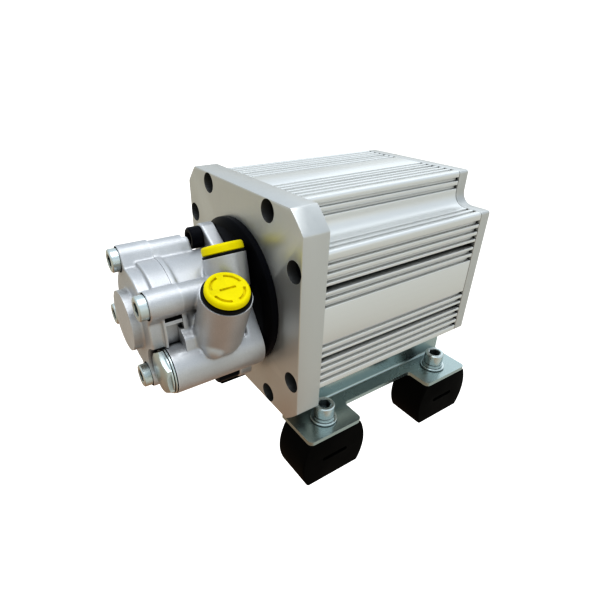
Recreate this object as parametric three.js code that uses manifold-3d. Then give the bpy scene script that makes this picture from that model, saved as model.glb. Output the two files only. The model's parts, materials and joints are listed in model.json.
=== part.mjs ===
// Electro-hydraulic power unit: a square-flanged finned motor drives a cast vane pump, and
// stands on two zinc-plated rails with rubber feet. Millimetres, +Z up. The pump end faces -Y.
// Every piece is drawn about the shaft: x across, y along the shaft from the flange's front
// face, z up from the shaft. The whole unit is then lifted so that its feet stand on z = 0.
import Module from "manifold-3d";
import * as THREE from "three";
import { ConvexGeometry } from "three/addons/geometries/ConvexGeometry.js";
import { mergeVertices } from "three/addons/utils/BufferGeometryUtils.js";

const wasm = await Module();
wasm.setup();

// Driving dimensions
const GAP = 0.3;
const SHAFT_HEIGHT = 135;
const FLANGE_SIZE = 160;
const FLANGE_THICKNESS = 20;
const FLANGE_CORNER_RADIUS = 104;
const FLANGE_HOLE_NEAR = 42;
const FLANGE_HOLE_FAR = 72;
const ARM_REACH = 79;
const ARM_HALF = 53;
const NOTCH_FILLET = 10;
const HOUSING_END = 170;
const HOUSING_BORE = 60;
const REAR_COVER_END = 180;
const CONNECTOR_END = 194;
const GROOVE_WIDTH = 3.5;
const GROOVE_DEPTH = 3.4;
const SLOT_DEPTH = 9;
const SLOT_INDEX = 2;
const GROOVE_PITCH = 6;
const GROOVE_FIRST = 15.5;
const GROOVES_PER_GROUP = 6;
const NOTCH_GROOVES = [67, 73];
const NOTCH_GROOVE_DEPTH = 2.4;
const NOTCH_GROOVE_WIDTH = 2.8;

const DISC_RADIUS = 56;
const PUMP_FLANGE_Y = -9;
const PUMP_FLANGE_FRONT = -19;
const PUMP_JOINT = -59.6;
const COVER_FRONT = -79.5;
const COVER_BOSS_FRONT = -88;
const COVER_STEP = -73;
const COVER_BOSS_RADIUS = 21;
const LUG_ANGLES = { upper: 115, right: 36, lower: 291, left: 200 };
const LUG_CIRCLE = 40.5;
const LUG_RADIUS = 9.5;
const CAVITY_RADIUS = 31;
const VANE_COUNT = 10;

const VALVE = { x: 37, z: -23.5 };
const VALVE_RADIUS = 16.2;
const VALVE_FRONT = -73;
const SPOOL_BORE = 9.5;

// A port is placed by the centre of its plug's outer face and its outward direction.
const PORTS = {
  outlet: { at: [60, -38.5, 37], angle: 67, plug: 14, head: 4.7, seal: 15.6, face: 6.6, boss: 16.3, length: 62 },
  inlet: { at: [24, -23.9, 49.6], angle: 115, plug: 14, head: 5.8, seal: 14.3, face: 7.7, boss: 14.8, length: 36 },
};
const PORT_BORE = 9.4;

const RAIL_TOP = -89;
const RAIL_THICKNESS = 3.4;
const RAIL_STRIP_X = 69;
const RAIL_OUTER_X = 90.5;
const EAR_SPANS = [[6, 56], [132, 182]];
const FOOT_INNER_X = 57;
const FOOT_BULGE = 5.5;
const SCREW_X = (FOOT_INNER_X + RAIL_OUTER_X) / 2;

// Finishes
const FINISH = {
  machined: [0xc4c6c4, 0.35, 0.9],
  extrusion: [0xb9bbb7, 0.4, 0.85],
  casting: [0xaeb3b8, 0.5, 0.8],
  blackSteel: [0x15171c, 0.35, 0.6],
  zinc: [0xa9b4b4, 0.3, 0.95],
  steel: [0x9a9c9e, 0.35, 0.95],
  laminate: [0x54565a, 0.5, 0.8],
  copper: [0xb06a3a, 0.4, 0.8],
  magnet: [0x3a3b40, 0.4, 0.6],
  bronze: [0xa98246, 0.4, 0.9],
  yellow: [0xf0de00, 0.45, 0.0],
  seal: [0x0c0c0d, 0.6, 0.0],
  rubber: [0x121211, 0.75, 0.0],
};

const radians = (degrees) => (degrees * Math.PI) / 180;
const polar = (radius, degrees) => ({
  x: radius * Math.cos(radians(degrees)),
  z: radius * Math.sin(radians(degrees)),
});

// Geometry helpers
function toSolid(geometry) {
  const bare = geometry.clone();
  bare.deleteAttribute("normal");
  bare.deleteAttribute("uv");
  const merged = mergeVertices(bare, 1e-4);
  return new wasm.Manifold(
    new wasm.Mesh({
      numProp: 3,
      vertProperties: Float32Array.from(merged.attributes.position.array),
      triVerts: Uint32Array.from(merged.index.array),
    }),
  );
}

function toGeometry(solid) {
  const mesh = solid.getMesh();
  const geometry = new THREE.BufferGeometry();
  geometry.setAttribute("position", new THREE.BufferAttribute(mesh.vertProperties, 3));
  geometry.setIndex(new THREE.BufferAttribute(mesh.triVerts, 1));
  geometry.computeVertexNormals();
  return geometry;
}

function unite(pieces) {
  return pieces.reduce((whole, piece) => whole.add(piece));
}

function cut(solid, tools) {
  return tools.reduce((rest, tool) => rest.subtract(tool), solid);
}

function rod(radius, from, to, x = 0, z = 0, segments = 24) {
  const geometry = new THREE.CylinderGeometry(radius, radius, to - from, segments);
  return toSolid(geometry.translate(x, (from + to) / 2, z));
}

function ring(outer, inner, from, to, segments = 24) {
  return rod(outer, from, to, 0, 0, segments).subtract(
    rod(inner, from - 1, to + 1, 0, 0, segments),
  );
}

function block(x0, x1, y0, y1, z0, z1) {
  const geometry = new THREE.BoxGeometry(x1 - x0, y1 - y0, z1 - z0);
  return toSolid(geometry.translate((x0 + x1) / 2, (y0 + y1) / 2, (z0 + z1) / 2));
}

// A profile of [radius, y] points, turned about the shaft.
function turned(profile, segments = 24) {
  const points = profile.map(([radius, y]) => new THREE.Vector2(radius, y));
  return toSolid(new THREE.LatheGeometry(points, segments));
}

// An outline in x and z, carried along the shaft.
function alongShaft(shape, from, to, curveSegments = 8) {
  const options = { depth: to - from, bevelEnabled: false, curveSegments };
  const geometry = new THREE.ExtrudeGeometry(shape, options);
  return toSolid(geometry.rotateX(Math.PI / 2).translate(0, to, 0));
}

function upward(shape, from, to, curveSegments = 5) {
  const options = { depth: to - from, bevelEnabled: false, curveSegments };
  return toSolid(new THREE.ExtrudeGeometry(shape, options).translate(0, 0, from));
}

// An outline in y and z, carried across the unit.
function across(shape, from, to, curveSegments = 10) {
  const options = { depth: to - from, bevelEnabled: false, curveSegments };
  const geometry = new THREE.ExtrudeGeometry(shape, options);
  const turn = new THREE.Matrix4().makeBasis(
    new THREE.Vector3(0, 1, 0),
    new THREE.Vector3(0, 0, 1),
    new THREE.Vector3(1, 0, 0),
  );
  return toSolid(geometry.applyMatrix4(turn).translate(from, 0, 0));
}

function moved(solid, x, y, z) {
  return toSolid(toGeometry(solid).translate(x, y, z));
}

// Turns about the shaft, upwards from +X.
function spun(solid, degrees) {
  return toSolid(toGeometry(solid).rotateY(-radians(degrees)));
}

// Stands a piece up: what pointed along +Y points down.
function upended(solid) {
  return toSolid(toGeometry(solid).rotateX(-Math.PI / 2));
}

// Turns a piece drawn about the y axis so that +y points out of a port.
function atPort(solid, port) {
  const direction = polar(1, port.angle);
  const turn = new THREE.Matrix4().makeBasis(
    new THREE.Vector3(-direction.z, 0, direction.x),
    new THREE.Vector3(direction.x, 0, direction.z),
    new THREE.Vector3(0, 1, 0),
  );
  const geometry = toGeometry(solid).applyMatrix4(turn);
  return toSolid(geometry.translate(...port.at));
}

// Outlines
function roundedSquare(size, corner) {
  const half = size / 2;
  const shape = new THREE.Shape();
  shape.moveTo(half - corner, -half);
  for (let quarter = 0; quarter < 4; quarter += 1) {
    const start = (quarter - 1) * (Math.PI / 2);
    const middle = start + Math.PI / 4;
    const reach = (half - corner) * Math.SQRT2;
    const x = reach * Math.cos(middle);
    const y = reach * Math.sin(middle);
    shape.absarc(x, y, corner, start, start + Math.PI / 2, false);
  }
  shape.closePath();
  return shape;
}

// A square whose corners are turned off on a circle about the shaft.
function turnedSquare(size, radius) {
  const half = size / 2;
  const angle = Math.acos(half / radius);
  const shape = new THREE.Shape();
  shape.moveTo(half, -radius * Math.sin(angle));
  for (let quarter = 0; quarter < 4; quarter += 1) {
    const turn = (quarter * Math.PI) / 2;
    shape.absarc(0, 0, radius, turn + angle, turn + Math.PI / 2 - angle, false);
  }
  shape.closePath();
  return shape;
}

// One arm of the motor's cross, pointing to +X, from its lower notch to its upper notch.
function armPoints(grooved) {
  const edge = 1.6;
  const points = [];
  const groove = (along, at, depth, width) => {
    points.push(along(at - width / 2, 0), along(at - width / 2, depth));
    points.push(along(at + width / 2, depth), along(at + width / 2, 0));
  };
  const lower = (at, depth) => [at, -ARM_HALF + depth];
  const face = (at, depth) => [ARM_REACH - depth, at];
  const upper = (at, depth) => [-at, ARM_HALF - depth];
  points.push(lower(ARM_HALF + NOTCH_FILLET, 0));
  if (grooved) {
    NOTCH_GROOVES.forEach((at) => groove(lower, at, NOTCH_GROOVE_DEPTH, NOTCH_GROOVE_WIDTH));
  }
  points.push(lower(ARM_REACH - edge, 0), face(-ARM_HALF + edge, 0));
  if (grooved) {
    const half = Array.from(
      { length: GROOVES_PER_GROUP },
      (_, index) => GROOVE_FIRST + index * GROOVE_PITCH,
    );
    const slot = half[SLOT_INDEX];
    const all = [...half.map((at) => -at).reverse(), ...half];
    all.forEach((at) => {
      groove(face, at, Math.abs(at) === slot ? SLOT_DEPTH : GROOVE_DEPTH, GROOVE_WIDTH);
    });
  }
  points.push(face(ARM_HALF - edge, 0), upper(-(ARM_REACH - edge), 0));
  if (grooved) {
    const mirrored = NOTCH_GROOVES.map((at) => -at).reverse();
    mirrored.forEach((at) => groove(upper, at, NOTCH_GROOVE_DEPTH, NOTCH_GROOVE_WIDTH));
  }
  points.push(upper(-(ARM_HALF + NOTCH_FILLET), 0));
  return points;
}

function crossOutline(grooved) {
  const arm = armPoints(grooved);
  const shape = new THREE.Shape();
  for (let quarter = 0; quarter < 4; quarter += 1) {
    const turn = (quarter * Math.PI) / 2;
    const cos = Math.cos(turn);
    const sin = Math.sin(turn);
    arm.forEach(([x, y], index) => {
      const place = [x * cos - y * sin, x * sin + y * cos];
      if (quarter === 0 && index === 0) {
        shape.moveTo(...place);
      } else {
        shape.lineTo(...place);
      }
    });
    const middle = turn + Math.PI / 4;
    const reach = (ARM_HALF + NOTCH_FILLET) * Math.SQRT2;
    const x = reach * Math.cos(middle);
    const y = reach * Math.sin(middle);
    shape.absarc(x, y, NOTCH_FILLET, turn - Math.PI / 2, turn - Math.PI, true);
  }
  shape.closePath();
  return shape;
}

// Motor
function flangeHolePlaces() {
  const places = [];
  for (const [near, far] of [
    [FLANGE_HOLE_NEAR, FLANGE_HOLE_FAR],
    [FLANGE_HOLE_FAR, FLANGE_HOLE_NEAR],
  ]) {
    for (const side of [-1, 1]) {
      places.push([near * side, far], [near * side, -far]);
    }
  }
  return places;
}

function frontFlange() {
  const outline = turnedSquare(FLANGE_SIZE, FLANGE_CORNER_RADIUS);
  const plate = alongShaft(outline, 0, FLANGE_THICKNESS, 4);
  const spigot = rod(HOUSING_BORE - GAP, FLANGE_THICKNESS - 1, 24, 0, 0, 40);
  const holes = flangeHolePlaces().flatMap(([x, z]) => [
    rod(7.4, -1, 11, x, z, 12),
    rod(4.4, 10, 30, x, z, 8),
  ]);
  const bores = [rod(20, -1, 9), rod(26.3, 8.3, 30)];
  return cut(plate.add(spigot), [...bores, ...holes]);
}

function motorHousing() {
  const bar = alongShaft(crossOutline(true), FLANGE_THICKNESS + GAP, HOUSING_END - GAP, 3);
  return bar.subtract(rod(HOUSING_BORE, 0, HOUSING_END + 10, 0, 0, 40));
}

function rearCover() {
  const plate = alongShaft(crossOutline(false), HOUSING_END, REAR_COVER_END, 3);
  const spigot = rod(HOUSING_BORE - GAP, HOUSING_END - 4, HOUSING_END + 1, 0, 0, 40);
  const seat = rod(27, 152, HOUSING_END + 1);
  return cut(unite([plate, spigot, seat]), [rod(20.3, 150, 166.5), rod(11, 160, 172)]);
}

function statorCore() {
  const slots = Array.from({ length: 12 }, (_, index) => {
    const slot = block(36, 54, 40, 142, -2.6, 2.6);
    return spun(slot, index * 30);
  });
  return cut(ring(HOUSING_BORE - GAP, 38, 42, 138, 40), slots);
}

function motorShaft() {
  return turned([
    [0, -1],
    [9, -1],
    [9, 8],
    [12.3, 8.6],
    [12.3, 24],
    [16.1, 24],
    [16.1, 150],
    [8.4, 150],
    [8.4, 165],
    [0, 165],
  ]);
}

function powerConnector() {
  const flange = alongShaft(roundedSquare(36, 4), REAR_COVER_END + GAP, REAR_COVER_END + 4, 3);
  const barrel = turned([
    [0, 183],
    [14, 183],
    [14, 186],
    [12.6, 187],
    [12.6, 191],
    [13.4, 192],
    [13.4, CONNECTOR_END],
    [11.4, CONNECTOR_END],
    [11.4, CONNECTOR_END - 3],
    [0, CONNECTOR_END - 3],
  ]);
  return moved(flange.add(barrel), 0, 0, 42);
}

// Pump
function lugPlace(name) {
  return polar(LUG_CIRCLE, LUG_ANGLES[name]);
}

// A rounded arm that reaches from the pump's middle to a screw.
function lug(name, radius, from, to) {
  const { x, z } = lugPlace(name);
  const web = block(0, LUG_CIRCLE, from, to, -radius, radius);
  return rod(radius, from, to, x, z, 20).add(spun(web, LUG_ANGLES[name]));
}

function lugs(radius, from, to) {
  return Object.keys(LUG_ANGLES).map((name) => lug(name, radius, from, to));
}

function lugHoles(radius, from, to) {
  return Object.keys(LUG_ANGLES).map((name) => {
    const { x, z } = lugPlace(name);
    return rod(radius, from, to, x, z, 12);
  });
}

function pumpCover() {
  const rear = PUMP_JOINT - GAP;
  const whole = unite([
    rod(34.5, COVER_FRONT, rear, 0, 0, 40),
    rod(37.5, COVER_STEP, rear, 0, 0, 40),
    rod(COVER_BOSS_RADIUS, COVER_BOSS_FRONT, COVER_FRONT + 1),
    ...lugs(LUG_RADIUS, COVER_FRONT, rear),
  ]);
  return cut(whole, [
    rod(VALVE_RADIUS + 0.6, -100, -50, VALVE.x, VALVE.z, 28),
    block(CAVITY_RADIUS + 0.6, 50, -71, -50, -12, 8.8),
    rod(9, -72, -50),
    ...lugHoles(5.4, -100, -50),
  ]);
}

function discHull(circles, from, to) {
  const points = circles.flatMap(([x, z, radius]) =>
    Array.from({ length: 20 }, (_, index) => {
      const edge = polar(radius, (index * 360) / 20);
      return [from, to].map((y) => new THREE.Vector3(x + edge.x, y, z + edge.z));
    }).flat(),
  );
  return toSolid(new ConvexGeometry(points));
}

// The inlet's boss leans over and narrows to the pump's round body.
function inletBoss(port) {
  const rings = [[port.boss, -port.face, 0], [port.boss, -port.length / 2, 0], [10, -port.length, 18]];
  const points = rings.flatMap(([radius, along, shift]) =>
    Array.from({ length: 28 }, (_, index) => {
      const edge = polar(radius, (index * 360) / 28);
      return new THREE.Vector3(edge.x + shift, along, edge.z);
    }),
  );
  return atPort(toSolid(new ConvexGeometry(points)), port);
}

const MOUNT_SCREWS = { upper: [-22, 39.5], lower: [24, -50] };

function pumpBody() {
  const [ux, uz] = MOUNT_SCREWS.upper;
  const [lx, lz] = MOUNT_SCREWS.lower;
  const { outlet, inlet } = PORTS;
  const web = new THREE.Shape();
  web.setFromPoints([[32, 1], [40.8, -4.5], [42, -10], [32, -14]].map((at) => new THREE.Vector2(...at)));
  const bores = Object.values(PORTS).flatMap((port) => [
    atPort(rod(PORT_BORE, -port.face - 17, 5, 0, 0, 20), port),
    atPort(rod(port.boss + 0.2, -port.face, 20, 0, 0, 28), port),
  ]);
  const whole = unite([
    rod(36.3, PUMP_JOINT, PUMP_FLANGE_FRONT + 1, 0, 0, 40),
    rod(37.5, PUMP_JOINT, -57, 0, 0, 40),
    ...lugs(LUG_RADIUS - 1, PUMP_JOINT, -38),
    lug("upper", LUG_RADIUS - 1, PUMP_JOINT, -31.5),
    alongShaft(web, -62, -44),
    rod(VALVE_RADIUS, VALVE_FRONT, PUMP_FLANGE_Y, VALVE.x, VALVE.z, 28),
    block(8, 37, -54, PUMP_FLANGE_Y, -38, -14),
    discHull([[0, 0, 32], [ux, uz, 9.5]], PUMP_FLANGE_FRONT, PUMP_FLANGE_Y),
    discHull([[0, 0, 32], [lx, lz, 10.5]], PUMP_FLANGE_FRONT, PUMP_FLANGE_Y),
    discHull([[0, 0, 32], [VALVE.x, VALVE.z, 16.2]], PUMP_FLANGE_FRONT, PUMP_FLANGE_Y),
    atPort(rod(outlet.boss, -outlet.face - outlet.length, -outlet.face, 0, 0, 28), outlet),
    inletBoss(inlet),
  ]);
  return cut(whole, [
    rod(CAVITY_RADIUS, PUMP_JOINT - 20, -27.6, 0, 0, 40),
    rod(11, -30, -15),
    rod(14.5, -19.5, 0),
    rod(12, VALVE_FRONT - 1, -60.5, VALVE.x, VALVE.z),
    rod(SPOOL_BORE, -62, -22, VALVE.x, VALVE.z),
    ...lugHoles(5, PUMP_JOINT - 1, -40),
    rod(5.5, -30, 0, ux, uz, 12),
    rod(5.5, -30, 0, lx, lz, 12),
    ...bores,
  ]);
}

function camRing() {
  const bore = new THREE.Shape().absellipse(0, 0, 25.5, 23.4, 0, Math.PI * 2);
  const inside = alongShaft(bore, -60, -30, 16);
  return rod(CAVITY_RADIUS - GAP, -53.2, -34.6, 0, 0, 40).subtract(inside);
}

function pressurePlate(from, to) {
  return ring(CAVITY_RADIUS - GAP, 8.6, from, to, 40);
}

function vaneRotor() {
  const slots = Array.from({ length: VANE_COUNT }, (_, index) => {
    const slot = block(14.4, 24, -60, -30, -1.2, 1.2);
    return spun(slot, (index * 360) / VANE_COUNT);
  });
  return cut(ring(22, 8, -52.8, -35), slots);
}

function vane(index) {
  return spun(block(14.8, 22.4, -52.7, -35.1, -0.8, 0.8), (index * 360) / VANE_COUNT);
}

function pumpShaft() {
  return turned([
    [0, -70],
    [7.1, -70],
    [7.7, -69.4],
    [7.7, -1.6],
    [0, -1.6],
  ]);
}

function driveCoupling() {
  return cut(rod(13, -7.6, 6.4), [rod(8, -9, -1.3), rod(9.3, -1.4, 9)]);
}

function adaptorDisc() {
  return turned(
    [
      [20, PUMP_FLANGE_Y + GAP],
      [51.5, PUMP_FLANGE_Y + GAP],
      [DISC_RADIUS, -4.6],
      [DISC_RADIUS, -GAP],
      [20, -GAP],
      [20, PUMP_FLANGE_Y + GAP],
    ],
    40,
  );
}

// Flow-control valve, in the barrel beside the pump's middle
function valveSpool() {
  const radius = SPOOL_BORE - GAP;
  const waist = 6.5;
  const spool = turned(
    [
      [0, -61.7],
      [4, -61.7],
      [4, -59],
      [radius, -59],
      [radius, -55],
      [waist, -55],
      [waist, -50],
      [radius, -50],
      [radius, -43],
      [0, -43],
    ],
    20,
  );
  return moved(spool, VALVE.x, 0, VALVE.z);
}

function valveSpring() {
  const [from, to] = [-41.6, -23.4];
  const turns = 5.5;
  const coil = 7;
  const points = Array.from({ length: 49 }, (_, index) => {
    const part = index / 48;
    const place = polar(coil, part * turns * 360);
    return new THREE.Vector3(place.x, from + (to - from) * part, place.z);
  });
  const wire = new THREE.Shape().absarc(0, 0, 0.9, 0, Math.PI * 2);
  const geometry = new THREE.ExtrudeGeometry(wire, {
    steps: 48,
    curveSegments: 2,
    bevelEnabled: false,
    extrudePath: new THREE.CatmullRomCurve3(points),
  });
  return toSolid(geometry.translate(VALVE.x, 0, VALVE.z));
}

function hexPrism(acrossFlats, from, to) {
  const geometry = new THREE.CylinderGeometry(
    acrossFlats / Math.sqrt(3),
    acrossFlats / Math.sqrt(3),
    to - from,
    6,
  );
  return toSolid(geometry.translate(0, (from + to) / 2, 0));
}

function valvePlug() {
  const whole = unite([
    hexPrism(27, COVER_FRONT, -75.5),
    rod(15, -76.2, -74.9),
    rod(11.7, -75.2, -62),
  ]);
  return moved(whole, VALVE.x, 0, VALVE.z);
}

function valveWasher() {
  return moved(ring(15.8, 12.1, -74.6, VALVE_FRONT - GAP, 28), VALVE.x, 0, VALVE.z);
}

// Fasteners: heads start at the head's outer face and the shank runs towards +y.
function capScrew(headRadius, headFace, seat, shankRadius, tip) {
  const screw = unite([
    rod(headRadius, headFace, seat, 0, 0, 20),
    rod(shankRadius, seat - 1, tip, 0, 0, 12),
  ]);
  return screw.subtract(hexPrism(headRadius, headFace - 5, headFace + (seat - headFace) / 2));
}

function coverScrew(name) {
  const { x, z } = lugPlace(name);
  const seat = COVER_FRONT - GAP;
  return moved(capScrew(8, seat - 6.7, seat, 4.6, -42), x, 0, z);
}

function mountScrew(name, head) {
  const [x, z] = MOUNT_SCREWS[name];
  const seat = PUMP_FLANGE_FRONT - GAP;
  const screw = capScrew(8, seat - head, seat, 4.8, PUMP_FLANGE_Y - 0.1);
  return moved(screw, x, 0, z);
}

// Port plugs: a wide head, its seal, and a stem in the port's bore
function portPlug(port) {
  const stem = PORT_BORE - 0.4;
  const plug = turned(
    [
      [0, -port.face - 11],
      [stem - 1, -port.face - 11],
      [stem, -port.face - 10],
      [stem, -port.head],
      [port.plug, -port.head],
      [port.plug, -1],
      [port.plug - 1, 0],
      [0, 0],
    ],
    28,
  );
  return atPort(plug, port);
}

function portSeal(port) {
  const seal = ring(port.seal, PORT_BORE, -port.face + GAP, -port.head - GAP, 28);
  return atPort(seal, port);
}

// Rails, feet and their screws. A rail and its feet are drawn on the +X side.
function railOutline() {
  const shape = new THREE.Shape();
  const corner = 4;
  const inner = 3;
  const wall = ARM_HALF + GAP;
  const [[front, frontEnd], [rearStart, rear]] = EAR_SPANS;
  shape.moveTo(wall, front);
  shape.lineTo(RAIL_OUTER_X - corner, front);
  shape.absarc(RAIL_OUTER_X - corner, front + corner, corner, -Math.PI / 2, 0, false);
  shape.absarc(RAIL_OUTER_X - corner, frontEnd - corner, corner, 0, Math.PI / 2, false);
  shape.absarc(RAIL_STRIP_X + inner, frontEnd + inner, inner, -Math.PI / 2, -Math.PI, true);
  shape.absarc(RAIL_STRIP_X + inner, rearStart - inner, inner, Math.PI, Math.PI / 2, true);
  shape.absarc(RAIL_OUTER_X - corner, rearStart + corner, corner, -Math.PI / 2, 0, false);
  shape.absarc(RAIL_OUTER_X - corner, rear - corner, corner, 0, Math.PI / 2, false);
  shape.lineTo(wall, rear);
  shape.closePath();
  return shape;
}

function earCentres() {
  return EAR_SPANS.map(([from, to]) => (from + to) / 2);
}

function footRail() {
  const wall = ARM_HALF + GAP;
  const plate = upward(railOutline(), RAIL_TOP - RAIL_THICKNESS, RAIL_TOP);
  const web = block(wall, wall + RAIL_THICKNESS, 21, 182, RAIL_TOP - 1, -64);
  const holes = earCentres().map((y) => {
    const hole = upended(rod(5.5, -20, 20, 0, 0, 12));
    return moved(hole, SCREW_X, y, RAIL_TOP);
  });
  return cut(plate.add(web), holes);
}

function rubberFoot(y) {
  const top = RAIL_TOP - RAIL_THICKNESS - GAP;
  const bottom = -SHAFT_HEIGHT;
  const half = 25;
  const middle = (top + bottom) / 2 - 1;
  const shape = new THREE.Shape();
  shape.moveTo(y - half, bottom);
  shape.lineTo(y + half, bottom);
  shape.quadraticCurveTo(y + half + 2 * FOOT_BULGE, middle, y + half, top);
  shape.lineTo(y - half, top);
  shape.quadraticCurveTo(y - half - 2 * FOOT_BULGE, middle, y - half, bottom);
  const body = across(shape, FOOT_INNER_X, RAIL_OUTER_X);
  const slot = block(RAIL_OUTER_X - 4, RAIL_OUTER_X + 4, y - 12, y + 12, middle, middle + 3.4);
  const hole = moved(upended(rod(5.4, -5, 22, 0, 0, 12)), SCREW_X, y, top);
  return cut(body, [slot, hole]);
}

// The screw carries its plain washer and spring washer with it.
function footScrew(y) {
  const screw = unite([
    capScrew(8, -14.6, -4.6, 4.8, 22),
    rod(8.8, -4.8, -1.9, 0, 0, 20),
    rod(10.5, -2.1, -GAP, 0, 0, 20),
  ]);
  return moved(upended(screw), SCREW_X, y, RAIL_TOP);
}

// The other side's copy. Reading its triangles backwards keeps their faces pointing out.
function mirrored(solid) {
  const geometry = toGeometry(solid).scale(-1, 1, 1);
  geometry.index.array.reverse();
  return toSolid(geometry);
}

// Assembly
const unit = new THREE.Group();
unit.position.set(0, -(COVER_BOSS_FRONT + CONNECTOR_END) / 2, SHAFT_HEIGHT);

function addPiece(name, solid, finish) {
  const [color, roughness, metalness] = FINISH[finish];
  const material = new THREE.MeshStandardMaterial({ color, roughness, metalness });
  const mesh = new THREE.Mesh(toGeometry(solid), material);
  mesh.name = name;
  unit.add(mesh);
}

function addMotor() {
  addPiece("front_flange", frontFlange(), "machined");
  addPiece("motor_housing", motorHousing(), "extrusion");
  addPiece("rear_cover", rearCover(), "machined");
  addPiece("stator_core", statorCore(), "laminate");
  addPiece("winding_front", ring(56, 41, 27, 41.7), "copper");
  addPiece("winding_rear", ring(56, 41, 138.3, 150), "copper");
  addPiece("rotor_core", ring(33, 16.4, 42, 138), "laminate");
  addPiece("magnet_sleeve", ring(37.2, 33.3, 42, 138, 32), "magnet");
  addPiece("motor_shaft", motorShaft(), "steel");
  addPiece("front_bearing_outer", ring(26, 22, 8.6, 23.4), "steel");
  addPiece("front_bearing_inner", ring(16.6, 12.6, 8.7, 23.4), "steel");
  addPiece("rear_bearing_outer", ring(20, 16.6, 153, 165), "steel");
  addPiece("rear_bearing_inner", ring(12.4, 8.7, 153, 165), "steel");
  addPiece("power_connector", powerConnector(), "zinc");
}

function addPump() {
  addPiece("adaptor_disc", adaptorDisc(), "blackSteel");
  addPiece("drive_coupling", driveCoupling(), "steel");
  addPiece("pump_body", pumpBody(), "casting");
  addPiece("pump_cover", pumpCover(), "casting");
  addPiece("pressure_plate_front", pressurePlate(-59.3, -53.5), "steel");
  addPiece("cam_ring", camRing(), "steel");
  addPiece("pressure_plate_rear", pressurePlate(-34.3, -28), "steel");
  addPiece("vane_rotor", vaneRotor(), "steel");
  for (let index = 0; index < VANE_COUNT; index += 1) {
    addPiece(`vane_${String(index + 1).padStart(2, "0")}`, vane(index), "steel");
  }
  addPiece("pump_shaft", pumpShaft(), "steel");
  addPiece("pump_bush", ring(10.7, 8, -27.4, -19.8), "bronze");
  addPiece("pump_shaft_seal", ring(14.2, 8, -19.2, -9.4), "seal");
  addPiece("valve_spool", valveSpool(), "steel");
  addPiece("valve_spring", valveSpring(), "steel");
  addPiece("valve_plug", valvePlug(), "zinc");
  addPiece("valve_plug_washer", valveWasher(), "zinc");
  for (const name of Object.keys(LUG_ANGLES)) {
    addPiece(`cover_screw_${name}`, coverScrew(name), "zinc");
  }
  addPiece("mount_screw_upper", mountScrew("upper", 8.6), "blackSteel");
  addPiece("mount_screw_lower", mountScrew("lower", 16), "blackSteel");
  for (const [name, port] of Object.entries(PORTS)) {
    addPiece(`${name}_plug`, portPlug(port), "yellow");
    addPiece(`${name}_seal`, portSeal(port), "seal");
  }
}

function addFeet() {
  const [frontY, rearY] = earCentres();
  const places = { front: frontY, rear: rearY };
  addPiece("foot_rail_right", footRail(), "zinc");
  addPiece("foot_rail_left", mirrored(footRail()), "zinc");
  for (const [end, y] of Object.entries(places)) {
    addPiece(`foot_${end}_right`, rubberFoot(y), "rubber");
    addPiece(`foot_${end}_left`, mirrored(rubberFoot(y)), "rubber");
    addPiece(`foot_screw_${end}_right`, footScrew(y), "zinc");
    addPiece(`foot_screw_${end}_left`, mirrored(footScrew(y)), "zinc");
  }
}

addMotor();
addPump();
addFeet();

export default unit;
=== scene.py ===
"""Electro-hydraulic power unit: the visible pieces, their finishes and the studio.

Every shape is drawn in millimetres about the shaft: x across, y along the shaft from the
flange's front face, z up from the shaft. complete() puts it in its place in metres.
"""
import json
import math

import bmesh
import bpy
from mathutils import Euler, Matrix, Vector


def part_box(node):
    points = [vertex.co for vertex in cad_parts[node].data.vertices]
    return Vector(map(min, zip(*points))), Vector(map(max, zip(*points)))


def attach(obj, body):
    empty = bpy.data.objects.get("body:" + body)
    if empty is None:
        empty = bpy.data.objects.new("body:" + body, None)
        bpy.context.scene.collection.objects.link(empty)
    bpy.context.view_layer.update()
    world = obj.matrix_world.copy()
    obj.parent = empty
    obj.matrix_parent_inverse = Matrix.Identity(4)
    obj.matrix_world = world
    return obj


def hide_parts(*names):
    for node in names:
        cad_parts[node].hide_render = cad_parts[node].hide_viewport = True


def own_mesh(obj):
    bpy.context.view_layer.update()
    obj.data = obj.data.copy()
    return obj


bl_info = {
    "name": "Hydraulic power unit",
    "version": (1, 0, 0),
    "blender": (4, 5, 0),
    "location": "View3D > Sidebar > Power Unit",
    "description": "Builds a finned motor, its vane pump and its rubber-footed rails",
    "category": "Add Mesh",
}

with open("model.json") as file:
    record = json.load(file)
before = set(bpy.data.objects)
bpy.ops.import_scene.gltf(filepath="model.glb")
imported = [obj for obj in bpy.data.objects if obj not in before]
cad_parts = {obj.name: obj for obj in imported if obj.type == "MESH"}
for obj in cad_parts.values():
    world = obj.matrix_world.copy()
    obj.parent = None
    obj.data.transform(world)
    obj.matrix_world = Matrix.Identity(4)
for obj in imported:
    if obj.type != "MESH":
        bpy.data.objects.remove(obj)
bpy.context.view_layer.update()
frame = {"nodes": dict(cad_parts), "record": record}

MM = 0.001
FLANGE_LOW, FLANGE_HIGH = (Vector(corner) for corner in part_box("front_flange"))
ORIGIN = Vector(((FLANGE_LOW.x + FLANGE_HIGH.x) / 2, FLANGE_LOW.y,
                 (FLANGE_LOW.z + FLANGE_HIGH.z) / 2))
FLANGE_SIZE = (FLANGE_HIGH.x - FLANGE_LOW.x) / MM
GROUND = -ORIGIN.z / MM
GAP = 0.3

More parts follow.
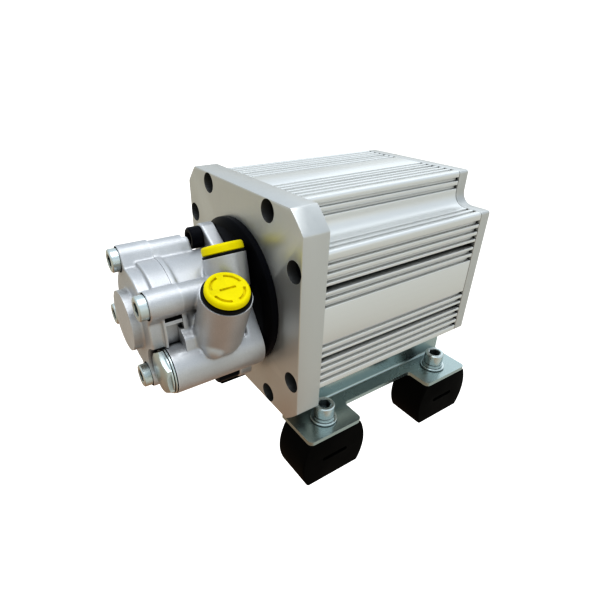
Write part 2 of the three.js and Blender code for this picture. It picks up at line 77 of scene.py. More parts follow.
# Motor: a groove is (depth, width)
FLANGE_THICKNESS = 20
FLANGE_HOLES = [(x * a, z * b) for a, b in ((42, 72), (72, 42)) for x in (-1, 1) for z in (-1, 1)]
HOLE_RADIUS, HOLE_DEPTH, HOLE_THROUGH = 7.4, 14, 4.4
ARM_REACH = 79
ARM_HALF = 53
ARM_CREST = 2.4
NOTCH_FILLET = 10
GROOVE_SPOTS = (15.5, 21.5, 27.5, 33.5, 39.5, 45.5)
GROOVE = (2.9, 3.1)
DEEP_SPOT = 27.5
DEEP_GROOVE = (9, 4.3)
NOTCH_GROOVE_SPOTS = (67, 73)
NOTCH_GROOVE = (2.4, 2.6)
GROOVE_LIP = 0.45
HOUSING_SPAN = (FLANGE_THICKNESS + GAP, 169.2)
HOUSING_BORE = 60
COVER_SPAN = (170, 180)
COVER_SCREW_CIRCLE = 70
SHAFT_OPENING = 20
CONNECTOR_Z = 42

# Pump
LUGS = {"upper": 115, "right": 36, "lower": 291, "left": 200}
LUG_CIRCLE = 40.5
LUG_RADIUS = 9.5
LUG_ROOT = 13
COVER_FRONT = -79.5
COVER_BOSS_FRONT = -88
JOINT = -59.6
JOINT_RIM = 37.5
CAVITY_RADIUS = 31
BODY_REAR = -9
MOUNT_FOOT = (-19, -7)
VALVE_X, VALVE_Z = 37, -23.5
VALVE_RADIUS = 16.2
VALVE_FRONT = -73
MOUNT_SPOTS = {"upper": (-22, 39.5), "lower": (24, -50)}
PORTS = {
    "outlet": {"at": (60, -38.5, 37), "angle": 67, "plug": 14, "head": 4.7, "seal": 15.6,
               "face": 6.6, "boss": 16.3},
    "inlet": {"at": (24, -23.9, 49.6), "angle": 115, "plug": 14, "head": 5.8, "seal": 14.3,
              "face": 7.7, "boss": 14.8},
}
PORT_BORE = 9.4
PORT_DEPTH = 17

# Stand
RAIL_TOP = -89
RAIL_THICKNESS = 3.4
RAIL_INNER, RAIL_STRIP, RAIL_OUTER = 53.3, 69, 90.5
WALL_SPAN, WALL_TOP = (21, 182), -64
EARS = ((6, 56), (132, 182))
FOOT_X = (57, 90.5)
FOOT_HALF, FOOT_BULGE = 25, 5.5
SCREW_X = sum(FOOT_X) / 2
EAR_MIDDLES = [sum(ear) / 2 for ear in EARS]
SCREW_RADIUS, SCREW_SHANK = 8, 4.8

# Studio: the camera's place is in millimetres from the shaft's start, its turn in degrees
CAMERA_PLACE = (268.45, -140.78, 152.96)
CAMERA_TURN = (60.1276, -0.3459, 56.9384)
CAMERA_SHIFT = (0.0383, 0.0206)
FLOOR_TURN = 57
LIT_POINT = (0, 0, 0.12)


def polar(radius, degrees):
    angle = math.radians(degrees)
    return radius * math.cos(angle), radius * math.sin(angle)


def port_matrix(port):
    """Turns a shape drawn about the y axis so that +y points out of the port."""
    x, z = polar(1, port["angle"])
    turn = Matrix(((-z, x, 0, 0), (0, 0, 1, 0), (x, z, 0, 0), (0, 0, 0, 1)))
    return Matrix.Translation(port["at"]) @ turn


# ---------------------------------------------------------------- shapes
def lathe(bm, profile, segments=96, matrix=Matrix.Identity(4)):
    """Turns a profile of (radius, y) points about the y axis."""
    rings = []
    for radius, y in profile:
        if radius < 1e-6:
            rings.append([bm.verts.new(matrix @ Vector((0, y, 0)))])
            continue
        ring = []
        for step in range(segments):
            x, z = polar(radius, 360 * step / segments)
            ring.append(bm.verts.new(matrix @ Vector((x, y, z))))
        rings.append(ring)
    for first, second in zip(rings, rings[1:]):
        for step in range(segments):
            after = (step + 1) % segments
            corners = [first[step % len(first)], first[after % len(first)],
                       second[after % len(second)], second[step % len(second)]]
            bm.faces.new(list(dict.fromkeys(corners)))


def loft(bm, rings):
    """Joins rings of corners, one after the other, into a closed bar."""
    bm.faces.new(rings[0])
    bm.faces.new(rings[-1])
    for first, second in zip(rings, rings[1:]):
        for step, corner in enumerate(first):
            after = (step + 1) % len(first)
            bm.faces.new((corner, first[after], second[after], second[step]))


def rod_at(bm, radius, low, high, place, segments=48):
    lathe(bm, [(0, low), (radius, low), (radius, high), (0, high)], segments, place)


def rod(bm, radius, low, high, x=0, z=0, segments=72):
    rod_at(bm, radius, low, high, Matrix.Translation((x, 0, z)), segments)


def prism(bm, outline, low, high, axis="Y"):
    """Carries an outline along one axis: Y takes (x, z), Z takes (x, y) and X takes (y, z)."""
    def at(u, v, along):
        return {"Y": (u, along, v), "Z": (u, v, along), "X": (along, u, v)}[axis]
    loft(bm, [[bm.verts.new(at(u, v, along)) for u, v in outline] for along in (low, high)])


def block(bm, x0, x1, y0, y1, z0, z1):
    prism(bm, [(x0, z0), (x1, z0), (x1, z1), (x0, z1)], y0, y1)


def hull(bm, circles, low, high):
    """The tight skin round several circles of (x, z, radius)."""
    part = bmesh.new()
    for x, z, radius in circles:
        for step in range(64):
            dx, dz = polar(radius, 360 * step / 64)
            for y in (low, high):
                part.verts.new((x + dx, y, z + dz))
    add_skin(bm, part)


def spheres(bm, balls):
    """The tight skin round several balls of (x, y, z, radius)."""
    part = bmesh.new()
    for x, y, z, radius in balls:
        bmesh.ops.create_icosphere(part, subdivisions=3, radius=radius,
                                   matrix=Matrix.Translation((x, y, z)))
    add_skin(bm, part)


def add_skin(bm, part):
    """Adds the convex skin of a part's points."""
    made = bmesh.ops.convex_hull(part, input=part.verts)
    spare = {item for key in ("geom_interior", "geom_unused") for item in made[key]}
    bmesh.ops.delete(part, geom=[i for i in spare if isinstance(i, bmesh.types.BMVert)])
    mesh = bpy.data.meshes.new("skin")
    part.to_mesh(mesh)
    part.free()
    bm.from_mesh(mesh)
    bpy.data.meshes.remove(mesh)


def arc_points(x, z, radius, start, end, steps=6):
    points = []
    for step in range(steps + 1):
        dx, dz = polar(radius, start + (end - start) * step / steps)
        points.append((x + dx, z + dz))
    return points


def rounded_square(size, corner, steps=12):
    reach = size / 2 - corner
    points = []
    for quarter, (sx, sz) in enumerate(((1, -1), (1, 1), (-1, 1), (-1, -1))):
        start = (quarter - 1) * 90
        points += arc_points(sx * reach, sz * reach, corner, start, start + 90, steps)
    return points


def turned_square(size, radius, steps=8):
    """A square whose corners are turned off on a circle about the shaft."""
    angle = math.degrees(math.acos(size / 2 / radius))
    points = []
    for quarter in range(4):
        points += arc_points(0, 0, radius, 90 * quarter + angle, 90 * quarter + 90 - angle, steps)
    return points


def hexagon(across_flats, turn=0):
    radius = across_flats / math.sqrt(3)
    return [polar(radius, turn + 60 * step) for step in range(6)]


# ---------------------------------------------------------------- objects
def make(name, bm):
    bmesh.ops.remove_doubles(bm, verts=bm.verts, dist=1e-4)
    bmesh.ops.recalc_face_normals(bm, faces=bm.faces)
    mesh = bpy.data.meshes.new(name)
    bm.to_mesh(mesh)
    bm.free()
    obj = bpy.data.objects.new(name, mesh)
    bpy.context.scene.collection.objects.link(obj)
    return obj


def drawn(name, draw, *args, **kwargs):
    bm = bmesh.new()
    draw(bm, *args, **kwargs)
    return make(name, bm)


def settle(obj):
    """Turns the object with its modifiers into a plain mesh."""
    bpy.context.view_layer.update()
    graph = bpy.context.evaluated_depsgraph_get()
    mesh = bpy.data.meshes.new_from_object(obj.evaluated_get(graph))
    old = obj.data
    obj.modifiers.clear()
    obj.data = mesh
    bpy.data.meshes.remove(old)


def modify(obj, kind, **values):
    modifier = obj.modifiers.new(kind.title(), kind)
    for key, value in values.items():
        setattr(modifier, key, value)
    return modifier


def combine(obj, tool, operation):
    modify(obj, "BOOLEAN", object=tool, operation=operation, solver="MANIFOLD")
    settle(obj)
    bpy.data.objects.remove(tool)
    if not obj.data.polygons:
        raise RuntimeError(f"nothing is left of {obj.name}")


def cut(obj, draw, *args, **kwargs):
    combine(obj, drawn("tool", draw, *args, **kwargs), "DIFFERENCE")


def join(obj, draw, *args, **kwargs):
    combine(obj, drawn("tool", draw, *args, **kwargs), "UNION")


def soften(obj, width, segments=2, angle=35):
    """Rounds the sharp edges by a width in millimetres."""
    modify(obj, "BEVEL", width=width, segments=segments, limit_method="ANGLE",
           angle_limit=math.radians(angle), harden_normals=False)
    settle(obj)


def cast(obj, voxel, passes):
    """Melts joined shapes into one skin with the soft corners of a casting."""
    modify(obj, "REMESH", mode="VOXEL", voxel_size=voxel, use_smooth_shade=True)
    modify(obj, "SMOOTH", factor=0.5, iterations=passes)
    settle(obj)


def complete(obj, finish, body="housing", nodes=(), angle=30):
    """Puts a finished shape in its place, in metres, and ties it to its body."""
    mesh = obj.data
    mesh.transform(Matrix.Translation(ORIGIN) @ Matrix.Scale(MM, 4))
    mesh.shade_smooth()
    mesh.set_sharp_from_angle(angle=math.radians(angle))
    mesh.materials.clear()
    mesh.materials.append(FINISHES[finish])
    mesh.polygons.foreach_set("material_index", [0] * len(mesh.polygons))
    mesh.update()
    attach(obj, body)
    if nodes:
        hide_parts(*nodes)
    return obj


# ---------------------------------------------------------------- Geometry Nodes
def new_tree(name, inputs, output):
    """An empty tree with its named inputs and its one output."""
    tree = bpy.data.node_groups.new(name, "GeometryNodeTree")
    for label, kind in inputs:
        tree.interface.new_socket(label, in_out="INPUT", socket_type=f"NodeSocket{kind}")
    tree.interface.new_socket(output, in_out="OUTPUT", socket_type="NodeSocketGeometry")
    return tree


def connect(tree, *wires):
    for source, socket, target, entry in wires:
        tree.links.new(source.outputs[socket], target.inputs[entry])


def placing_tree(name):
    """Sets one part on every marked point, turned as the point says."""
    tree = new_tree(name, (("Points", "Geometry"), ("Part", "Object"), ("Size", "Float"),
                           ("Finish", "Material")), "Parts")
    add = tree.nodes.new
    given, out = add("NodeGroupInput"), add("NodeGroupOutput")
    info, place = add("GeometryNodeObjectInfo"), add("GeometryNodeInstanceOnPoints")
    turn, real = add("GeometryNodeInputNamedAttribute"), add("GeometryNodeRealizeInstances")
    paint = add("GeometryNodeSetMaterial")
    turn.data_type = "FLOAT_VECTOR"
    turn.inputs["Name"].default_value = "turn"
    connect(tree, (given, "Points", place, "Points"), (given, "Part", info, "Object"),
            (info, "Geometry", place, "Instance"), (turn, "Attribute", place, "Rotation"),
            (given, "Size", place, "Scale"), (place, "Instances", real, "Geometry"),
            (real, "Geometry", paint, "Geometry"), (given, "Finish", paint, "Material"),
            (paint, "Geometry", out, "Parts"))
    return tree


def bar_tree(name):
    """Draws a flat outline out into a bar along the shaft."""
    tree = new_tree(name, (("Outline", "Geometry"), ("Length", "Float"), ("Finish", "Material")),
                    "Bar")
    add = tree.nodes.new
    given, out = add("NodeGroupInput"), add("NodeGroupOutput")
    pull, offset = add("GeometryNodeExtrudeMesh"), add("ShaderNodeCombineXYZ")
    flip, both = add("GeometryNodeFlipFaces"), add("GeometryNodeJoinGeometry")
    weld, real = add("GeometryNodeMergeByDistance"), add("GeometryNodeRealizeInstances")
    paint = add("GeometryNodeSetMaterial")
    pull.mode = "FACES"
    pull.inputs["Individual"].default_value = False
    pull.inputs["Offset Scale"].default_value = 1
    connect(tree, (given, "Outline", pull, "Mesh"), (given, "Length", offset, "Y"),
            (offset, "Vector", pull, "Offset"), (given, "Outline", flip, "Mesh"),
            (pull, "Mesh", both, "Geometry"), (flip, "Mesh", both, "Geometry"),
            (both, "Geometry", weld, "Geometry"), (weld, "Geometry", real, "Geometry"),
            (real, "Geometry", paint, "Geometry"), (given, "Finish", paint, "Material"),
            (paint, "Geometry", out, "Bar"))
    return tree


TREES = {"Placed parts": placing_tree, "Drawn bar": bar_tree}


def grown(name, mesh, tree_name, **values):
    """The plain mesh that a tree makes of a mesh and the values of its inputs."""
    obj = bpy.data.objects.new(name, mesh)
    bpy.context.scene.collection.objects.link(obj)
    tree = bpy.data.node_groups.get(tree_name) or TREES[tree_name](tree_name)
    modifier = obj.modifiers.new(tree_name, "NODES")
    modifier.node_group = tree
    for item in tree.interface.items_tree:
        if item.in_out == "INPUT" and item.name in values:
            modifier[item.identifier] = values[item.name]
    settle(obj)
    return obj


def placed(name, part, spots, finish, nodes=()):
    """Completes one mesh that holds a copy of the part at each (place, turn in degrees)."""
    mesh = bpy.data.meshes.new(name)
    mesh.from_pydata([place for place, _ in spots], [], [])
    turns = mesh.attributes.new("turn", "FLOAT_VECTOR", "POINT")
    for entry, (_, turn) in zip(turns.data, spots):
        entry.vector = [math.radians(angle) for angle in turn]
    obj = grown(name, mesh, "Placed parts", Part=part, Size=1.0, Finish=FINISHES[finish])
    bpy.data.objects.remove(part)
    complete(obj, finish, nodes=nodes)


def drawn_bar(name, outline, span, finish):
    """A bar of one outline of (x, z) points, from one y to another."""
    mesh = bpy.data.meshes.new(name)
    corners = [(x, span[0], z) for x, z in outline]
    mesh.from_pydata(corners, [], [list(range(len(corners)))])
    obj = grown(name, mesh, "Drawn bar", Length=float(span[1] - span[0]), Finish=FINISHES[finish])
    bm = bmesh.new()
    bm.from_mesh(obj.data)
    bmesh.ops.recalc_face_normals(bm, faces=bm.faces)
    bm.to_mesh(obj.data)
    bm.free()
    return obj


def cap_screw(head, height, socket, shank, length, chamfer=0.7):
    """A socket screw whose head starts at y = 0 and whose shank runs towards +y."""
    screw = drawn("screw", lathe, [
        (0, 0), (head - chamfer, 0), (head, chamfer), (head, height - 0.4),
        (head - 0.4, height), (shank, height), (shank, height + length), (0, height + length)], 64)
    cut(screw, lathe, [(0, -1), (socket * 0.62, -1), (socket * 0.62, 0.05),
                       (socket * 0.5, 0.6), (0, 0.6)], 48)
    cut(screw, prism, hexagon(socket), -1, height * 0.55)
    return screw


# ---------------------------------------------------------------- finishes
FINISHES = {}


def scaled(colour, factor):
    return tuple(min(1.0, part * factor) for part in colour)


class Paint:
    """A small helper that wires one material."""

    def __init__(self, name, metallic=0.0, roughness=0.5, specular=0.5):
        self.material = bpy.data.materials.new(name)
        self.material.use_nodes = True
        self.nodes = self.material.node_tree.nodes
        self.links = self.material.node_tree.links
        self.shader = self.nodes["Principled BSDF"]
        self.shader.inputs["Metallic"].default_value = metallic
        self.shader.inputs["Roughness"].default_value = roughness
        self.shader.inputs["Specular IOR Level"].default_value = specular
        self.place = self.nodes.new("ShaderNodeTexCoord").outputs["Object"]

    def add(self, kind, source=None, entry="Vector", **values):
        """Adds a node with its input values, and feeds the source to one entry."""
        node = self.nodes.new(f"ShaderNode{kind}")
        for key, value in values.items():
            node.inputs[key.replace("_", " ")].default_value = value
        if source:
            self.links.new(source, node.inputs[entry])
        return node

    def noise(self, scale, stretch=(1, 1, 1), detail=4):
        place = self.add("Mapping", self.place, Scale=stretch).outputs["Vector"]
        return self.add("TexNoise", place, Scale=scale, Detail=detail,
                        Roughness=0.55).outputs["Fac"]

    def cells(self, scale):
        return self.add("TexVoronoi", self.place, Scale=scale).outputs["Distance"]

    def rings(self, scale):
        """Turning marks about the shaft."""
        place = self.add("Mapping", self.place, Location=-ORIGIN).outputs["Vector"]
        node = self.add("TexWave", place, Scale=scale, Distortion=1.5)
        node.wave_type, node.rings_direction = "RINGS", "Y"
        return node.outputs["Fac"]

    def edges(self, low=0.5, high=0.56):
        """Picks out the edges of the surface, for wear and a painted highlight."""
        return self.spread(self.add("NewGeometry").outputs["Pointiness"], 0, 1, low, high)

    def station(self, start, end):
        """Grows from 0 to 1 along the shaft."""
        along = self.add("SeparateXYZ", self.place).outputs["Y"]
        return self.spread(along, 0, 1, ORIGIN.y + start * MM, ORIGIN.y + end * MM)

    def painted_corner_shade(self, reach, dark, clear):
        """Picks out deep corners, where painted shade darkens the colour."""
        open_sky = self.add("AmbientOcclusion", Distance=reach).outputs["AO"]
        return self.spread(open_sky, 1, 0, dark, clear)

    def spread(self, value, low, high, start=0.3, end=0.7):
        return self.add("MapRange", value, "Value", From_Min=start, From_Max=end,
                        To_Min=low, To_Max=high).outputs["Result"]

    def blend(self, value, first, second):
        node = self.add("Mix")
        node.data_type = "RGBA"
        for socket, colour in ((node.inputs[6], first), (node.inputs[7], second)):
            if isinstance(colour, tuple):
                socket.default_value = (*colour, 1)
            else:
                self.links.new(colour, socket)
        self.links.new(value, node.inputs[0])
        return node.outputs[2]

    def mottle(self, value, tint, dark, pale):
        """Drifts between a darker and a paler tint."""
        return self.blend(self.spread(value, 0, 1), scaled(tint, dark), scaled(tint, pale))

    def colour(self, value):
        self.links.new(value, self.shader.inputs["Base Color"])

    def gloss(self, value, low, high):
        self.links.new(self.spread(value, low, high), self.shader.inputs["Roughness"])

    def relief(self, value, height, strength=0.5):
        """Adds bump; each call lies on the one before."""
        node = self.add("Bump", value, "Height", Strength=strength, Distance=height)
        before = self.shader.inputs["Normal"].links
        if before:
            self.links.new(before[0].from_socket, node.inputs["Normal"])
        self.links.new(node.outputs["Normal"], self.shader.inputs["Normal"])


def brushed(name, tint, metallic, rough, stretch, scale):
    """Fine lines along one direction, slow blotches, edges lighter from wear and a painted
    highlight, and painted shade in the recesses.
    """
    paint = Paint(name, metallic)
    lines = paint.noise(scale, stretch, detail=3)
    base = paint.mottle(paint.noise(18, detail=3), tint, 0.93, 1.05)
    base = paint.blend(paint.spread(lines, 0, 0.5, 0.35, 0.65), base, scaled(tint, 1.1))
    # edges lighter from wear and a painted highlight
    base = paint.blend(paint.edges(), base, scaled(tint, 1.25))
    # painted shade: deep corners, slots and bores darken almost to black
    paint.colour(paint.blend(paint.painted_corner_shade(0.012, 0.18, 0.41), base, scaled(tint, 0.07)))
    paint.gloss(lines, *rough)
    paint.relief(lines, 4e-5, 0.35)
    return paint.material


def casting_finish(name, tint):
    """A sand-cast skin: fine grain, soft pits, cloudy colour, edges lighter from wear and a painted
    highlight, and painted shade in the corners.
    """
    paint = Paint(name, 0.72)
    grain = paint.noise(1400, detail=5)
    base = paint.mottle(paint.noise(35, detail=3), tint, 0.9, 1.06)
    base = paint.blend(paint.spread(grain, 0, 0.6), base, scaled(tint, 0.84))
    # edges lighter from wear and a painted highlight
    base = paint.blend(paint.edges(0.5, 0.6), base, scaled(tint, 1.2))
    # painted shade: the casting darkens in its corners and creases
    paint.colour(paint.blend(paint.painted_corner_shade(0.008, 0.2, 0.55), base, scaled(tint, 0.1)))
    paint.gloss(grain, 0.36, 0.52)
    paint.relief(paint.noise(260, detail=3), 1.6e-4, 0.35)
    paint.relief(grain, 8e-5, 0.4)
    return paint.material


def moulded(name, tint, rough, grain, depth, edge_dust_and_highlight=1.5, specular=0.5):
    """Moulded plastic or rubber: a fine grain and lighter edges, from dust and a painted highlight.
    """
    paint = Paint(name, specular=specular)
    clouds = paint.noise(40, detail=3)
    base = paint.mottle(clouds, tint, 0.88, 1.08)
    # edges lighter, from dust and a painted highlight
    paint.colour(paint.blend(paint.edges(0.5, 0.62), base, scaled(tint, edge_dust_and_highlight)))
    paint.gloss(clouds, *rough)
    paint.relief(paint.noise(grain), depth, 0.4)
    return paint.material


def blackened(name, tint):
    """Black oxide on turned steel: rings, oil sheen and bright edges, from bare metal and a painted
    highlight.
    """
    paint = Paint(name, specular=0.08)
    clouds = paint.noise(45, detail=3)
    base = paint.mottle(clouds, tint, 0.8, 1.3)
    # bright edges, from bare metal and a painted highlight
    paint.colour(paint.blend(paint.edges(0.53, 0.6), base, scaled(tint, 6)))
    paint.gloss(clouds, 0.28, 0.42)
    paint.relief(paint.rings(420), 1.5e-5, 0.3)
    return paint.material


def zinc_finish(name, tint, painted_rear_light):
    """Zinc plating: crystal spangle, blue tinges, soft scratches, painted light towards the rear
    and shade at the front, lighter edges, and painted shade in the corners.
    """
    paint = Paint(name, 0.9)
    clouds = paint.noise(28)
    blue = (tint[0] * 0.86, tint[1] * 0.98, tint[2] * 1.06)
    base = paint.blend(paint.spread(clouds, 0, 1), blue, scaled(tint, 1.08))
    base = paint.blend(paint.spread(paint.cells(420), 0, 0.35, 0.1, 0.8), base, scaled(tint, 1.15))
    # painted light and shade: lighter towards the rear, darker at the front under the motor
    base = paint.blend(paint.station(20, 160), base, scaled(tint, painted_rear_light))
    # edges lighter from wear and a painted highlight
    base = paint.blend(paint.edges(0.5, 0.57), base, scaled(tint, 1.4))
    # painted shade: the plate darkens in its corners
    paint.colour(paint.blend(paint.painted_corner_shade(0.02, 0.1, 0.6), base, scaled(tint, 0.2)))
    paint.gloss(clouds, 0.2, 0.34)
    paint.relief(paint.noise(500, (1, 0.06, 1), detail=2), 1.5e-5, 0.4)
    return paint.material


def layered(paint, layers, base, tint, rough, height, strength):
    """Thin layers side by side, with dark seams between them."""
    paint.colour(paint.blend(paint.spread(layers, 0, 1), base, tint))
    paint.gloss(layers, *rough)
    paint.relief(layers, height, strength)
    return paint.material


def wound(name, tint):
    """Bundles of enamelled wire."""
    paint = Paint(name, 0.6)
    base = paint.mottle(paint.noise(60), tint, 0.7, 1.2)
    return layered(paint, paint.rings(260), base, scaled(tint, 0.4), (0.3, 0.5), 4e-4, 0.8)


def stacked(name, tint):
    """Thin steel sheets, stacked along the shaft."""
    paint = Paint(name, 0.8)
    base = paint.mottle(paint.noise(50), tint, 0.8, 1.2)
    sheets = paint.noise(900, (0.01, 1, 0.01), detail=1)
    return layered(paint, sheets, base, scaled(tint, 0.45), (0.35, 0.6), 1e-4, 0.6)


def make_finishes():
    look = bpy.context.scene.power_unit.finishes
    along, across, even = (1, 0.02, 1), (1, 1, 0.05), (1, 1, 1)
    black = (0.004, 0.004, 0.004)
    FINISHES.update({
        "machined": brushed("machined aluminium", look.machined, 0.75, (0.3, 0.42), across, 320),
        "extrusion": brushed("extruded aluminium", look.extrusion, 0.75, (0.3, 0.42), along, 420),
        # painted shade: a dark copy of the machined finish for the walls of the flange's holes
        "bore": brushed("bored aluminium", scaled(look.machined, 0.22), 0.5, (0.42, 0.5),
                        (1, 0.05, 1), 320),
        "steel": brushed("ground steel", (0.5, 0.51, 0.53), 0.95, (0.2, 0.34), along, 300),
        "bronze": brushed("sintered bronze", (0.5, 0.32, 0.13), 0.9, (0.3, 0.5), even, 900),
        "casting": casting_finish("cast aluminium", look.casting),
        "black_steel": blackened("black oxide steel", look.black_steel),
        "zinc": zinc_finish("zinc plate", look.zinc, 1.02),
        # the rails' zinc is painted shaded at the front and 2.6 times lighter towards the rear
        "rail_zinc": zinc_finish("rail zinc with painted light and shade", look.rail_zinc, 2.6),
        "laminate": stacked("laminated steel", (0.22, 0.23, 0.25)),
        "copper": wound("enamelled copper", (0.5, 0.2, 0.07)),
        "magnet": moulded("bonded magnet", (0.05, 0.05, 0.06), (0.35, 0.55), 700, 1e-4),
        "yellow_plastic": moulded("yellow plastic", look.plug, (0.34, 0.46), 1200, 3e-5,
                                  1.03, 0.12),
        "seal": moulded("nitrile seal", black, (0.35, 0.5), 900, 6e-5, 1.5, 0.2),
        "rubber": moulded("foot rubber", look.rubber, (0.5, 0.68), 1100, 1.2e-4, 3.5, 0.06),
    })


# ---------------------------------------------------------------- motor
def arm_outline(grooved):
    """One arm of the motor's cross, pointing to +x, from its lower notch to its upper one."""
    points = []

    def groove(along, spot, depth, width):
        """A groove with rounded lips and a rounded floor, in the side that along() draws."""
        half, lip, bend = width / 2, GROOVE_LIP, 0.3
        wall = ((half + lip, 0), (half + bend * lip, bend * lip), (half, lip), (half, depth - bend),
                (half - bend, depth))
        points.extend(along(spot - across, down) for across, down in wall)
        points.extend(along(spot + across, down) for across, down in reversed(wall))

    def lower(spot, depth):
        return spot, depth - ARM_HALF

    def face(spot, depth):
        return ARM_REACH - depth, spot

    def upper(spot, depth):
        return -spot, ARM_HALF - depth

    points.append(lower(ARM_HALF + NOTCH_FILLET, 0))
    if grooved:
        for spot in NOTCH_GROOVE_SPOTS:
            groove(lower, spot, *NOTCH_GROOVE)
    points += arc_points(ARM_REACH - ARM_CREST, ARM_CREST - ARM_HALF, ARM_CREST, -90, 0, 5)
    if grooved:
        for spot in sorted([-spot for spot in GROOVE_SPOTS] + list(GROOVE_SPOTS)):
            groove(face, spot, *(DEEP_GROOVE if abs(spot) == DEEP_SPOT else GROOVE))
    points += arc_points(ARM_REACH - ARM_CREST, ARM_HALF - ARM_CREST, ARM_CREST, 0, 90, 5)
    if grooved:
        for spot in reversed(NOTCH_GROOVE_SPOTS):
            groove(upper, -spot, *NOTCH_GROOVE)
    points.append(upper(-(ARM_HALF + NOTCH_FILLET), 0))
    return points


def cross_outline(grooved):
    outline = []
    for quarter in range(4):
        turn = 90 * quarter
        cos, sin = polar(1, turn)
        outline += [(x * cos - z * sin, x * sin + z * cos) for x, z in arm_outline(grooved)]
        middle = polar((ARM_HALF + NOTCH_FILLET) * math.sqrt(2), turn + 45)
        outline += arc_points(*middle, NOTCH_FILLET, turn - 90, turn - 180, 8)[1:-1]
    return outline


def build_flange():
    look = bpy.context.scene.power_unit.motor
    plate = drawn("front_flange_plate", prism,
                  turned_square(FLANGE_SIZE, look.flange_turning / MM), 0, FLANGE_THICKNESS)
    soften(plate, look.edge_round / MM)
    join(plate, rod, HOUSING_BORE - GAP, FLANGE_THICKNESS - 1, 24)
    cut(plate, rod, SHAFT_OPENING, -1, 9)
    cut(plate, rod, 26.3, 8.3, 30)
    for x, z in FLANGE_HOLES:
        cut(plate, lathe, [
            (0, -1), (8, -1), (HOLE_RADIUS, 0.25), (HOLE_RADIUS, HOLE_DEPTH),
            (HOLE_THROUGH, HOLE_DEPTH), (HOLE_THROUGH, 30), (0, 30)], 48,
            Matrix.Translation((x, 0, z)))
    complete(plate, "machined", nodes=["front_flange"])
    # The hole walls take the dark finish: painted shade in the counterbores.
    plate.data.materials.append(FINISHES["bore"])
    for face in plate.data.polygons:
        x, z = (face.center - ORIGIN).xz / MM
        off = min(math.hypot(x - spot[0], z - spot[1]) for spot in FLANGE_HOLES)
        if off < HOLE_RADIUS + 0.1 and abs(face.normal.y) < 0.5:
            face.material_index = 1
    head = 7
    placed("flange_screws", cap_screw(6.4, head, 6, 4, 10, 0.8),
           [((x, HOLE_DEPTH - 0.2 - head, z), (0, 15, 0)) for x, z in FLANGE_HOLES], "black_steel")


def build_housing():
    bar = drawn_bar("motor_housing_bar", cross_outline(True), HOUSING_SPAN, "extrusion")
    cut(bar, rod, HOUSING_BORE, 0, 200)
    complete(bar, "extrusion", nodes=["motor_housing"], angle=50)


def build_rear_cover():
    look = bpy.context.scene.power_unit.motor
    plate = drawn_bar("rear_cover_plate", cross_outline(False), COVER_SPAN, "machined")
    soften(plate, look.edge_round / MM / 2, 3)
    spigot_end = COVER_SPAN[0] + 1
    join(plate, rod, HOUSING_BORE - GAP, 166, spigot_end)
    join(plate, rod, 27, 152, spigot_end)
    cut(plate, rod, SHAFT_OPENING + GAP, 150, 166.5)
    cut(plate, rod, 11, 160, spigot_end + 1)
    spots = [polar(COVER_SCREW_CIRCLE, 45 * index + 22.5) for index in range(8)]
    for x, z in spots:
        cut(plate, rod, 6.2, 175, 185, x, z, 40)
    complete(plate, "machined", nodes=["rear_cover"])
    placed("rear_cover_screws", cap_screw(5, 5, 5, 2.5, 1),
           [((x, COVER_SPAN[1] - 0.4, z), (180, 0, 0)) for x, z in spots], "zinc")


def build_connector():
    plate = [(x, z + CONNECTOR_Z) for x, z in rounded_square(36, 4)]
    shell = drawn("power_connector_shell", prism, plate, COVER_SPAN[1] + GAP, 184)
    soften(shell, 0.6)
    place = Matrix.Translation((0, 0, CONNECTOR_Z))
    join(shell, lathe, [
        (0, 183), (14, 183), (14, 186), (12.6, 186.6), (12.6, 190.8), (13.4, 191.4), (13.4, 193.6),
        (13, 194), (11.8, 194), (11.4, 193.6), (11.4, 188), (0, 188)], 72, place)
    complete(shell, "zinc", nodes=["power_connector"])
    insert = drawn("connector_insert", lathe,
                   [(0, 188.1), (11, 188.1), (11, 189.4), (10.6, 189.8), (0, 189.8)], 64, place)
    complete(insert, "seal")
    pin = drawn("pin", lathe, [(0, 0), (1.3, 0), (1.3, 2.6), (0.7, 3.3), (0, 3.3)], 20)
    spots = [polar(6.4, angle) for angle in range(0, 360, 60)] + [(0, 0)]
    placed("connector_pins", pin,
           [((x, 189.7, CONNECTOR_Z + z), (0, 0, 0)) for x, z in spots], "bronze")


# ---------------------------------------------------------------- pump
def build_disc():
    ring = drawn("adaptor_disc_ring", lathe, [
        (20, -8.7), (49.6, -8.7), (50.6, -8.4), (55.2, -5.2), (56, -4.2), (56, -0.7), (55.6, -0.3),
        (20, -0.3), (20, -8.7)], 160)
    complete(ring, "black_steel", nodes=["adaptor_disc"])


def lug_shapes(bm, radius, low, high):
    """The four lugs, each running in to a wider root near the shaft."""
    for angle in LUGS.values():
        hull(bm, [(*polar(LUG_CIRCLE, angle), radius), (*polar(16, angle), LUG_ROOT)], low, high)


